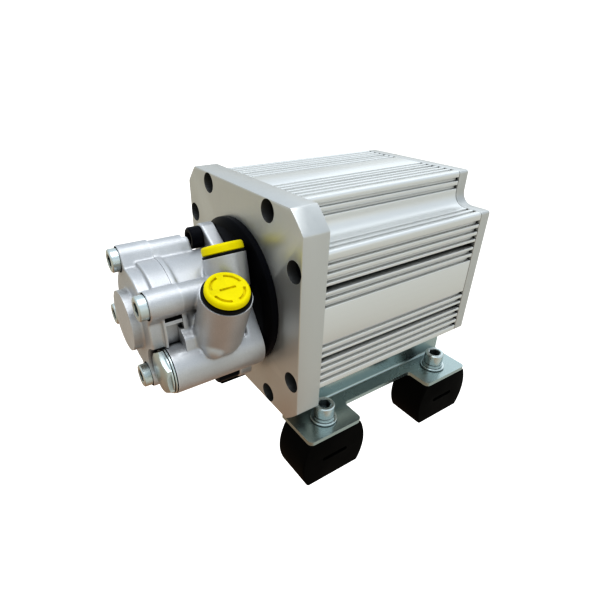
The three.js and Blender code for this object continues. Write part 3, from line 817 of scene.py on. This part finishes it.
def build_pump_cover():
    look = bpy.context.scene.power_unit.pump
    rear, spare = JOINT - GAP, 1.5
    bm = bmesh.new()
    rod(bm, 34.5, COVER_FRONT - spare, rear + 2)
    rod(bm, JOINT_RIM, -72.6, rear + 2)
    lug_shapes(bm, LUG_RADIUS, COVER_FRONT - spare, rear + 2)
    rod(bm, 21, COVER_BOSS_FRONT - spare, COVER_FRONT + 4)
    cover = make("pump_cover_casting", bm)
    cast(cover, look.voxel / MM, look.melt)
    for low, high in ((-120, COVER_BOSS_FRONT), (rear, 0)):
        cut(cover, block, -60, 60, low, high, -60, 60)
    for angle in LUGS.values():
        x, z = polar(LUG_CIRCLE, angle)
        cut(cover, rod, LUG_RADIUS - 0.6, -90, COVER_FRONT, x, z)
        cut(cover, rod, 5.4, -100, -50, x, z)
    cut(cover, rod, VALVE_RADIUS + 0.6, -100, -50, VALVE_X, VALVE_Z)
    cut(cover, rod, CAVITY_RADIUS + 0.05, -65, -50)
    for low, high in ((-12, 8.8), (11, 14.5)):
        cut(cover, block, 31.6, 60, -71, -50, low, high)
    complete(cover, "casting", nodes=["pump_cover"], angle=40)


def body_casting():
    """The body before machining, with a little spare metal at its ends and port faces."""
    look = bpy.context.scene.power_unit.pump
    front, spare = JOINT - 2, 1.5
    foot_low, foot_high = MOUNT_FOOT
    bm = bmesh.new()
    # the round body, its rim at the joint, and its lugs
    rod(bm, 36.3, front, -16)
    rod(bm, JOINT_RIM, front, -56.4)
    lug_shapes(bm, LUG_RADIUS - 1, front, -38)
    hull(bm, [(*polar(LUG_CIRCLE, LUGS["upper"]), LUG_RADIUS - 1), (0, 0, LUG_ROOT)], -39, -31.5)
    # the web beside the outlet boss and the lobe at the boss's foot
    prism(bm, [(27, 7), (33, 5), (42.6, -0.6), (44.6, -8), (27, -14)], -66, -44)
    spheres(bm, [(42, -46.5, 3, 8), (51, -45.5, -8, 7.5)])
    # the valve's barrel, and the mounting foot at the motor's end
    rod(bm, VALVE_RADIUS, VALVE_FRONT - 2, foot_high, VALVE_X, VALVE_Z)
    block(bm, 8, VALVE_X, -54, foot_high, -38, -14)
    for end in ((*MOUNT_SPOTS["upper"], LUG_RADIUS), (*MOUNT_SPOTS["lower"], 8.8),
                (VALVE_X, VALVE_Z, VALVE_RADIUS)):
        hull(bm, [(0, 0, 32), end], foot_low, foot_high)
    for name, rings in (("outlet", ((0, -45, 0), (0, -57, 5))),
                        ("inlet", ((3.2, -30, 1), (18, -40, 4.8)))):
        port = PORTS[name]
        leaning_boss(bm, port["boss"], ((0, spare - port["face"], 0), *rings), port_matrix(port))
    body = make("pump_body_casting", bm)
    cast(body, look.voxel / MM * 1.25, look.melt)
    return body


def build_pump_body():
    body = body_casting()
    # faced ends
    for low, high in ((BODY_REAR, 20), (-120, VALVE_FRONT)):
        cut(body, block, -80, 80, low, high, -90, 90)
    # room for the cover, beside the barrel that passes it
    for inner, start in ((VALVE_RADIUS + 0.15, -62), (30, JOINT)):
        cut(body, lathe, [
            (inner, start), (120, start), (120, -100), (inner, -100), (inner, start)], 96,
            Matrix.Translation((VALVE_X, 0, VALVE_Z)))
    for right, low in ((32, -9), (80, 4)):
        cut(body, block, -80, right, -100, JOINT, low, 80)
    # faced and bored ports
    for port in PORTS.values():
        place = port_matrix(port)
        cut(body, rod_at, port["boss"] + 0.4, -port["face"], 20, place)
        cut(body, rod_at, PORT_BORE, -port["face"] - PORT_DEPTH, 5, place)
    # the chamber, the shaft's bore, the seal's bore, and the valve's two bores
    for radius, low, high, *centre in (
            (CAVITY_RADIUS, -100, -27.6), (11, -30, -15), (14.5, -19.5, 0),
            (12, VALVE_FRONT - 1, -60.5, VALVE_X, VALVE_Z), (9.5, -62, -22, VALVE_X, VALVE_Z)):
        cut(body, rod, radius, low, high, *centre)
    # screw holes
    for angle in LUGS.values():
        cut(body, rod, 5, JOINT - 1, -40, *polar(LUG_CIRCLE, angle))
    for x, z in MOUNT_SPOTS.values():
        cut(body, rod, 5.5, -30, 0, x, z)
        cut(body, rod, 9.3, -36, MOUNT_FOOT[0], x, z)
    complete(body, "casting", nodes=["pump_body"], angle=40)


def leaning_boss(bm, radius, rings, place):
    """The tight skin round rings of (shift, y, how much narrower)."""
    part = bmesh.new()
    for shift, y, narrower in rings:
        for x, z in arc_points(shift, 0, radius - narrower, 0, 355, 71):
            part.verts.new(place @ Vector((x, y, z)))
    add_skin(bm, part)


def build_pump_screws():
    head = 6.7
    spots = []
    for index, angle in enumerate(LUGS.values()):
        x, z = polar(LUG_CIRCLE, angle)
        spots.append(((x, COVER_FRONT - head - GAP, z), (0, 20 * index, 0)))
    placed("cover_screws", cap_screw(SCREW_RADIUS, head, 8, 4.6, 37), spots, "zinc",
           [f"cover_screw_{name}" for name in LUGS])
    for name, head in (("upper", 8.6), ("lower", 16)):
        x, z = MOUNT_SPOTS[name]
        screw = cap_screw(SCREW_RADIUS, head, 8, SCREW_SHANK, 10.1, 0.9)
        placed(f"mount_screw_{name}_black", screw,
               [((x, MOUNT_FOOT[0] - GAP - head, z), (0, 10, 0))], "black_steel",
               [f"mount_screw_{name}"])


def build_valve():
    place = Matrix.Translation((VALVE_X, 0, VALVE_Z))
    plug = drawn("valve_plug_hexagon", prism, hexagon(27, 32), COVER_FRONT, -75.4)
    chamfer = drawn("tool", lathe, [
        (0, COVER_FRONT), (12.9, COVER_FRONT), (15.7, -78), (15.7, -75), (0, -75)], 96)
    combine(plug, chamfer, "INTERSECT")
    join(plug, lathe, [(0, -76.2), (14.7, -76.2), (15, -75.9), (15, -75.1), (14.8, -74.9),
                       (11.7, -74.9), (11.7, -62), (0, -62)], 96)
    plug.data.transform(place)
    complete(plug, "zinc", nodes=["valve_plug"])
    washer = drawn("valve_washer_ring", lathe, [
        (12.1, -74.6), (15.5, -74.6), (15.8, -74.3), (15.8, -73.6), (15.5, -73.3), (12.1, -73.3),
        (12.1, -74.6)], 96, place)
    complete(washer, "zinc", nodes=["valve_plug_washer"])


def spring_wire(bm, start, end, turns, coil, wire):
    """A helix along the shaft, with a round wire and closed ends."""
    steps = 36 * turns
    rings = []
    for step in range(round(steps) + 1):
        part = step / round(steps)
        x, z = polar(coil, 360 * turns * part)
        out, along = Vector((x, 0, z)).normalized(), Vector((0, 1, 0))
        centre = Vector((x, start + (end - start) * part, z))
        rings.append([bm.verts.new(centre + out * u + along * v)
                      for u, v in (polar(wire, 36 * step) for step in range(10))])
    loft(bm, rings)


def build_spring():
    spring = drawn("valve_spring_wire", spring_wire, -41.6, -23.4, 5.5, 7, 0.9)
    spring.data.transform(Matrix.Translation((VALVE_X, 0, VALVE_Z)))
    complete(spring, "steel", nodes=["valve_spring"])
    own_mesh(spring)


def plug_marks(bm, place):
    """The moulded grooves in a plug's face: a broken ring and a short bar."""
    for start in (10, 100, 190, 280):
        outer = arc_points(0, 0, 10.9, start, start + 64, 12)
        inner = arc_points(0, 0, 9.2, start + 64, start, 12)
        prism(bm, outer + inner, -2.2, 1)
    prism(bm, [(-0.85, -5.3), (0.85, -5.3), (0.85, 5.3), (-0.85, 5.3)], -2, 1)
    bm.transform(place)


def build_plug(name):
    port = PORTS[name]
    place = port_matrix(port)
    rim, stem, head, face = port["plug"], PORT_BORE - 0.4, port["head"], port["face"]
    plug = drawn(f"{name}_plug_cap", lathe, [
        (0, -face - 11), (stem - 1.2, -face - 11), (stem, -face - 10), (stem, -head),
        (rim - 0.6, -head), (rim, 0.6 - head), (rim, -1.9), (rim - 0.35, -0.9), (rim - 1.1, -0.15),
        (rim - 1.9, 0), (rim - 2.7, -0.25), (rim - 3.1, -0.5), (0, -0.5)], 96, place)
    cut(plug, plug_marks, place)
    complete(plug, "yellow_plastic", f"{name}_plug", [f"{name}_plug"], 35)
    edge = port["seal"]
    seal = drawn(f"{name}_seal_ring", lathe, [
        (PORT_BORE, 0.1 - face), (edge - 0.4, 0.1 - face), (edge, 0.5 - face), (edge, -head - 0.5),
        (edge - 0.4, -head - 0.1), (PORT_BORE, -head - 0.1), (PORT_BORE, 0.1 - face)], 96, place)
    complete(seal, "seal", f"{name}_plug", [f"{name}_seal"])


# ---------------------------------------------------------------- stand
def rail_outline():
    """The pressed plate from above: an ear at each end and a narrow strip between them."""
    corner, inner = 4, 3
    (front, front_end), (rear_start, rear) = EARS
    points = [(RAIL_INNER, front)]
    points += arc_points(RAIL_OUTER - corner, front + corner, corner, -90, 0)
    points += arc_points(RAIL_OUTER - corner, front_end - corner, corner, 0, 90)
    points += arc_points(RAIL_STRIP + inner, front_end + inner, inner, -90, -180)
    points += arc_points(RAIL_STRIP + inner, rear_start - inner, inner, 180, 90)
    points += arc_points(RAIL_OUTER - corner, rear_start + corner, corner, -90, 0)
    points += arc_points(RAIL_OUTER - corner, rear - corner, corner, 0, 90)
    return points + [(RAIL_INNER, rear)]


def to_side(obj, side):
    """Mirrors a shape to the left side, with its faces turned out again."""
    if side == "right":
        return
    obj.data.transform(Matrix.Scale(-1, 4, (1, 0, 0)))
    obj.data.flip_normals()


def upright_rod(bm, radius, low, high, x, y):
    turn = Euler((math.radians(90), 0, 0)).to_matrix().to_4x4()
    rod_at(bm, radius, low, high, Matrix.Translation((x, y, 0)) @ turn)


def build_rail(side):
    look = bpy.context.scene.power_unit.stand
    low = RAIL_TOP - RAIL_THICKNESS
    rail = drawn(f"foot_rail_{side}_plate", prism, rail_outline(), low, RAIL_TOP, "Z")
    corner, bend = RAIL_INNER + RAIL_THICKNESS, 2.5
    join(rail, block, RAIL_INNER, corner, *WALL_SPAN, RAIL_TOP - 1, WALL_TOP)
    fillet = arc_points(corner + bend, RAIL_TOP + bend, bend, 180, 270)
    join(rail, prism, [(corner - 1, RAIL_TOP - 1), (corner - 1, RAIL_TOP + bend)] + fillet
         + [(corner + bend, RAIL_TOP - 1)], *WALL_SPAN)
    soften(rail, look.edge_round / MM, 3, 50)
    for y in EAR_MIDDLES:
        cut(rail, upright_rod, 5.5, low - 2, RAIL_TOP + 2, SCREW_X, y)
    to_side(rail, side)
    complete(rail, "zinc", nodes=[f"foot_rail_{side}"])
    # the rails take the zinc with painted shade at the front and painted light at the rear
    rail.data.materials[0] = FINISHES["rail_zinc"]


def foot_profile(y, half, bulge, low, high):
    """Flat above and below, and swollen to a smooth belly on both sides."""
    middle = (low + high) / 2 - 1
    right, left = [], []
    for step in range(17):
        part = step / 16
        a, b, c = (1 - part) ** 2, 2 * part * (1 - part), part ** 2
        z = a * low + b * middle + c * high
        right.append((y + half + b * 2 * bulge, z))
        left.append((y - half - b * 2 * bulge, z))
    return right + left[::-1]


def build_foot(end, side):
    look = bpy.context.scene.power_unit.stand
    y = EAR_MIDDLES[("front", "rear").index(end)]
    top = RAIL_TOP - RAIL_THICKNESS - GAP
    foot = drawn(f"foot_{end}_{side}_rubber", prism,
                 foot_profile(y, FOOT_HALF, FOOT_BULGE, GROUND, top), *FOOT_X, "X")
    soften(foot, look.foot_round / MM, 4, 30)
    middle = (GROUND + top) / 2 - 1
    cut(foot, prism, [(y + dy, middle + 1.7 + dz) for dy, dz in slot_outline(24, 3.4)],
        FOOT_X[1] - 5, FOOT_X[1] + 5, "X")
    cut(foot, upright_rod, 5.4, top - 22, top + 5, SCREW_X, y)
    to_side(foot, side)
    complete(foot, "rubber", nodes=[f"foot_{end}_{side}"], angle=40)


def slot_outline(length, height):
    reach = (length - height) / 2
    return (arc_points(reach, 0, height / 2, -90, 90, 8)
            + arc_points(-reach, 0, height / 2, 90, 270, 8))


def split_washer(bm):
    """A spring washer: a square-section coil with one gap."""
    steps = 60
    rings = []
    for step in range(steps + 1):
        part = step / steps
        rise = 0.25 - 0.5 * part
        ring = []
        for radius, y in ((5.6, -1.25), (8.8, -1.1), (8.8, 1.1), (5.6, 1.25)):
            x, z = polar(radius, 4 + 352 * part)
            ring.append(bm.verts.new((x, y + rise, z)))
        rings.append(ring)
    loft(bm, rings)


def build_foot_screws():
    corners = [(side * SCREW_X, y) for side in (1, -1) for y in EAR_MIDDLES]
    down = (-90, 0, 0)
    names = [f"foot_screw_{end}_{side}" for side in ("right", "left") for end in ("front", "rear")]
    screw = cap_screw(SCREW_RADIUS, 10, 8.6, SCREW_SHANK, 27, 0.8)
    spots = [((x, y, RAIL_TOP + 14.6), down) for x, y in corners]
    placed("foot_screws", screw, spots, "zinc", names)
    washer = drawn("washer", split_washer)
    spots = [((x, y, RAIL_TOP + 3.3), (-90, 0, 40 + 25 * i)) for i, (x, y) in enumerate(corners)]
    placed("spring_washers", washer, spots, "zinc")
    flat = drawn("flat", lathe, [(5.3, 0), (10.2, 0), (10.5, 0.3), (10.5, 1.4), (10.2, 1.7),
                                 (5.3, 1.7), (5.3, 0)], 64)
    spots = [((x, y, RAIL_TOP + 2), down) for x, y in corners]
    placed("flat_washers", flat, spots, "zinc")


# ---------------------------------------------------------------- carried-over pieces
def paint_inner_nodes():
    """The hidden pieces keep their exact solids and take their finishes."""
    slots = {entry["node"]: entry["material_slot"] for entry in frame["record"]["subparts"]}
    for name, obj in frame["nodes"].items():
        obj.data.materials.clear()
        obj.data.materials.append(FINISHES[slots[name]])


# ---------------------------------------------------------------- studio
def build_stage():
    look = bpy.context.scene.power_unit.studio
    bm = bmesh.new()
    half, flat, bend, rise, sink = 14, 5, 3, 9, 0.0005
    sweep = [polar(bend, 9 * step) for step in range(11)]
    profile = [(-half, 0)] + [(flat + v, bend - u) for u, v in sweep] + [(flat + bend, rise)]
    rows = [[bm.verts.new((x, y, z - sink)) for y, z in profile] for x in (-half, half)]
    for index in range(len(profile) - 1):
        bm.faces.new((rows[0][index], rows[1][index], rows[1][index + 1], rows[0][index + 1]))
    floor = make("studio_floor", bm)
    floor.data.transform(Matrix.Rotation(math.radians(FLOOR_TURN), 4, "Z"))
    floor.data.shade_smooth()
    floor.data.materials.append(paper_finish(look.floor))
    floor.visible_diffuse = floor.visible_glossy = False
    world = bpy.data.worlds.new("studio light")
    bpy.context.scene.world = world
    world.use_nodes = True
    nodes, links = world.node_tree.nodes, world.node_tree.links
    sky = nodes["Background"]
    sky.inputs["Strength"].default_value = look.fill
    toward = nodes.new("ShaderNodeTexCoord").outputs["Generated"]
    colour = None
    for direction, start, end, tone in (
            ((0, 0, 1), -0.75, -0.25, look.horizon),
            ((0.66, 0.75, 0), 0.1, 0.9, look.right_room),
            ((0, 0, 1), -0.1, 0.5, look.sky)):
        dot, ease = nodes.new("ShaderNodeVectorMath"), nodes.new("ShaderNodeMapRange")
        mix = nodes.new("ShaderNodeMix")
        dot.operation, mix.data_type, ease.interpolation_type = "DOT_PRODUCT", "RGBA", "SMOOTHSTEP"
        dot.inputs[1].default_value = direction
        ease.inputs["From Min"].default_value = start
        ease.inputs["From Max"].default_value = end
        mix.inputs[6].default_value = (*look.left_room, 1)
        mix.inputs[7].default_value = (*tone, 1)
        links.new(toward, dot.inputs[0])
        links.new(dot.outputs["Value"], ease.inputs["Value"])
        links.new(ease.outputs["Result"], mix.inputs[0])
        if colour:
            links.new(colour, mix.inputs[6])
        colour = mix.outputs[2]
    links.new(colour, sky.inputs["Color"])
    lamps = (
        ("back_softbox", (-0.5, 1.3, 1.2), 1.6, 1.2, look.back_power, (0.93, 0.97, 1)),
        ("top_softbox", (0.15, -0.1, 1.5), 1.2, 1.2, look.top_power, (0.97, 0.985, 1)),
        ("right_softbox", (1.4, 0.6, 0.5), 0.9, 0.9, look.side_power, (1, 1, 0.97)),
    )
    for name, place, width, height, power, colour in lamps:
        lamp = bpy.data.lights.new(name, "AREA")
        lamp.shape = "RECTANGLE"
        lamp.size, lamp.size_y, lamp.energy, lamp.color = width, height, power, colour
        obj = bpy.data.objects.new(name, lamp)
        obj.location = place
        away = Vector(place) - Vector(LIT_POINT)
        obj.rotation_euler = away.to_track_quat("Z", "Y").to_euler()
        bpy.context.scene.collection.objects.link(obj)


def paper_finish(pale):
    """Evenly lit white paper with the faintest clouds."""
    paint = Paint("studio paper", roughness=0.9, specular=0.0)
    glow = paint.mottle(paint.noise(1.2), pale, 0.998, 1)
    paint.shader.inputs["Base Color"].default_value = (0, 0, 0, 1)
    paint.links.new(glow, paint.shader.inputs["Emission Color"])
    paint.shader.inputs["Emission Strength"].default_value = 1
    return paint.material


def build_camera():
    look = bpy.context.scene.power_unit.studio
    bpy.context.scene.view_settings.view_transform = "Standard"
    bpy.context.scene.view_settings.look = "High Contrast"
    camera = bpy.data.cameras.new("studio_camera")
    camera.lens = look.lens
    camera.sensor_width = 36
    camera.shift_x, camera.shift_y = CAMERA_SHIFT
    camera.clip_start, camera.clip_end = 0.01, 60
    obj = bpy.data.objects.new("studio_camera", camera)
    obj.location = ORIGIN + Vector(CAMERA_PLACE) * MM
    obj.rotation_euler = [math.radians(angle) for angle in CAMERA_TURN]
    bpy.context.scene.collection.objects.link(obj)
    bpy.context.scene.camera = obj


# ---------------------------------------------------------------- settings
def length(name, description, millimetres):
    return bpy.props.FloatProperty(name=name, description=description, default=millimetres * MM,
                                   min=0, unit="LENGTH", precision=4)


def tint(name, description, colour):
    return bpy.props.FloatVectorProperty(name=name, description=description, default=colour,
                                         size=3, min=0, max=1, subtype="COLOR")


def power(name, description, watts):
    return bpy.props.FloatProperty(name=name, description=description, default=watts, min=0,
                                   unit="POWER")


def group(kind, name, description):
    return bpy.props.PointerProperty(type=kind, name=name, description=description)


class MotorSettings(bpy.types.PropertyGroup):
    flange_turning: length("Flange turning", "Radius to which the flange's corners are turned", 104)
    edge_round: length("Edge round", "Rounding of the machined edges", 0.8)


class PumpSettings(bpy.types.PropertyGroup):
    voxel: length("Casting detail", "Size of the grid that melts the castings together", 0.7)
    melt: bpy.props.IntProperty(name="Casting softness", default=7, min=0,
                                description="How far the castings' corners are rounded")


class StandSettings(bpy.types.PropertyGroup):
    edge_round: length("Rail edge", "Rounding of the pressed rails' edges", 0.7)
    foot_round: length("Foot edge", "Rounding of the rubber feet's edges", 1.6)


class FinishSettings(bpy.types.PropertyGroup):
    machined: tint("Machined", "Colour of the flange and rear cover", (0.5, 0.5, 0.485))
    extrusion: tint("Extrusion", "Colour of the motor's housing", (0.6, 0.6, 0.585))
    casting: tint("Casting", "Colour of the pump's castings", (0.6, 0.6, 0.605))
    black_steel: tint("Black steel", "Colour of the disc and mounting screws",
                      (0.0028, 0.0029, 0.004))
    zinc: tint("Zinc", "Colour of the zinc-plated screws and washers", (0.46, 0.5, 0.49))
    # painted shade: this darker tint is the rails' shaded front; the finish paints them lighter
    # towards the rear
    rail_zinc: tint("Rail zinc", "Colour of the zinc-plated rails", (0.31, 0.36, 0.35))
    plug: tint("Port plugs", "Colour of the two port plugs", (0.82, 0.7, 0.0))
    rubber: tint("Rubber", "Colour of the feet", (0.0026, 0.0024, 0.002))


class StudioSettings(bpy.types.PropertyGroup):
    floor: tint("Floor", "Colour of the studio floor", (0.985, 0.985, 0.98))
    sky: tint("Sky", "Light from above", (0.68, 0.75, 0.82))
    horizon: tint("Horizon", "Light from the left, level with the unit", (0.55, 0.53, 0.45))
    left_room: tint("Left room", "Light from below at the left", (0.38, 0.26, 0.18))
    right_room: tint("Right room", "Light from the right and the back", (0.6, 0.61, 0.575))
    fill: bpy.props.FloatProperty(name="Fill", description="Strength of the light from all round",
                                  default=0.88, min=0)
    back_power: power("Back", "Power of the softbox behind the motor", 2)
    top_power: power("Top", "Power of the softbox above", 6)
    side_power: power("Side", "Power of the softbox at the right", 0.5)
    lens: bpy.props.FloatProperty(name="Lens", description="Focal length of the camera",
                                  default=26.395, min=1, unit="CAMERA")


class UnitSettings(bpy.types.PropertyGroup):
    motor: group(MotorSettings, "Motor", "Sizes of the motor")
    pump: group(PumpSettings, "Pump", "How the pump's castings are melted together")
    stand: group(StandSettings, "Stand", "Sizes of the rails and feet")
    finishes: group(FinishSettings, "Finishes", "Colours of the pieces")
    studio: group(StudioSettings, "Studio", "Light, floor and lens")


# ---------------------------------------------------------------- operators
class POWERUNIT_OT_finishes(bpy.types.Operator):
    """Make every finish and give the hidden pieces theirs"""
    bl_idname = "power_unit.finishes"
    bl_label = "Finishes"

    def execute(self, context):
        make_finishes()
        paint_inner_nodes()
        return {"FINISHED"}


class POWERUNIT_OT_motor(bpy.types.Operator):
    """Build the motor's flange, finned housing, rear cover and connector"""
    bl_idname = "power_unit.motor"
    bl_label = "Motor"

    def execute(self, context):
        build_flange()
        build_housing()
        build_rear_cover()
        build_connector()
        return {"FINISHED"}


class POWERUNIT_OT_castings(bpy.types.Operator):
    """Build the pump's body and cover castings and the disc behind them"""
    bl_idname = "power_unit.castings"
    bl_label = "Pump castings"

    def execute(self, context):
        build_disc()
        build_pump_cover()
        build_pump_body()
        return {"FINISHED"}


class POWERUNIT_OT_pump_screws(bpy.types.Operator):
    """Set the socket screws in the pump"""
    bl_idname = "power_unit.pump_screws"
    bl_label = "Pump screws"

    def execute(self, context):
        build_pump_screws()
        return {"FINISHED"}


class POWERUNIT_OT_valve(bpy.types.Operator):
    """Build the flow-control valve's plug, washer and spring"""
    bl_idname = "power_unit.valve"
    bl_label = "Valve"

    def execute(self, context):
        build_valve()
        build_spring()
        return {"FINISHED"}


class POWERUNIT_OT_plugs(bpy.types.Operator):
    """Build the two port plugs and their seals"""
    bl_idname = "power_unit.plugs"
    bl_label = "Port plugs"

    def execute(self, context):
        for name in PORTS:
            build_plug(name)
        return {"FINISHED"}


class POWERUNIT_OT_stand(bpy.types.Operator):
    """Build the rails, the rubber feet and their screws"""
    bl_idname = "power_unit.stand"
    bl_label = "Stand"

    def execute(self, context):
        for side in ("right", "left"):
            build_rail(side)
            for end in ("front", "rear"):
                build_foot(end, side)
        build_foot_screws()
        return {"FINISHED"}


class POWERUNIT_OT_stage(bpy.types.Operator):
    """Set up the studio's floor, lights and camera"""
    bl_idname = "power_unit.stage"
    bl_label = "Stage"

    def execute(self, context):
        build_stage()
        build_camera()
        return {"FINISHED"}


OPERATORS = (POWERUNIT_OT_finishes, POWERUNIT_OT_motor, POWERUNIT_OT_castings,
             POWERUNIT_OT_pump_screws, POWERUNIT_OT_valve, POWERUNIT_OT_plugs,
             POWERUNIT_OT_stand, POWERUNIT_OT_stage)
SETTINGS = (MotorSettings, PumpSettings, StandSettings, FinishSettings, StudioSettings,
            UnitSettings)


class POWERUNIT_PT_build(bpy.types.Panel):
    """Lists the steps that build the unit"""
    bl_label = "Hydraulic power unit"
    bl_space_type = "VIEW_3D"
    bl_region_type = "UI"
    bl_category = "Power Unit"

    def draw(self, context):
        for operator in OPERATORS:
            self.layout.operator(operator.bl_idname)
        for group in ("motor", "pump", "stand", "finishes", "studio"):
            box = self.layout.box()
            box.label(text=group.title())
            values = getattr(context.scene.power_unit, group)
            for name in values.__annotations__:
                box.prop(values, name)


def register():
    for cls in SETTINGS + OPERATORS + (POWERUNIT_PT_build,):
        bpy.utils.register_class(cls)
    bpy.types.Scene.power_unit = bpy.props.PointerProperty(type=UnitSettings)


def unregister():
    del bpy.types.Scene.power_unit
    for cls in reversed(SETTINGS + OPERATORS + (POWERUNIT_PT_build,)):
        bpy.utils.unregister_class(cls)


def main():
    register()
    bpy.ops.power_unit.finishes()
    bpy.ops.power_unit.motor()
    bpy.ops.power_unit.castings()
    bpy.ops.power_unit.pump_screws()
    bpy.ops.power_unit.valve()
    bpy.ops.power_unit.plugs()
    bpy.ops.power_unit.stand()
    bpy.ops.power_unit.stage()


if __name__ == "__main__":
    main()
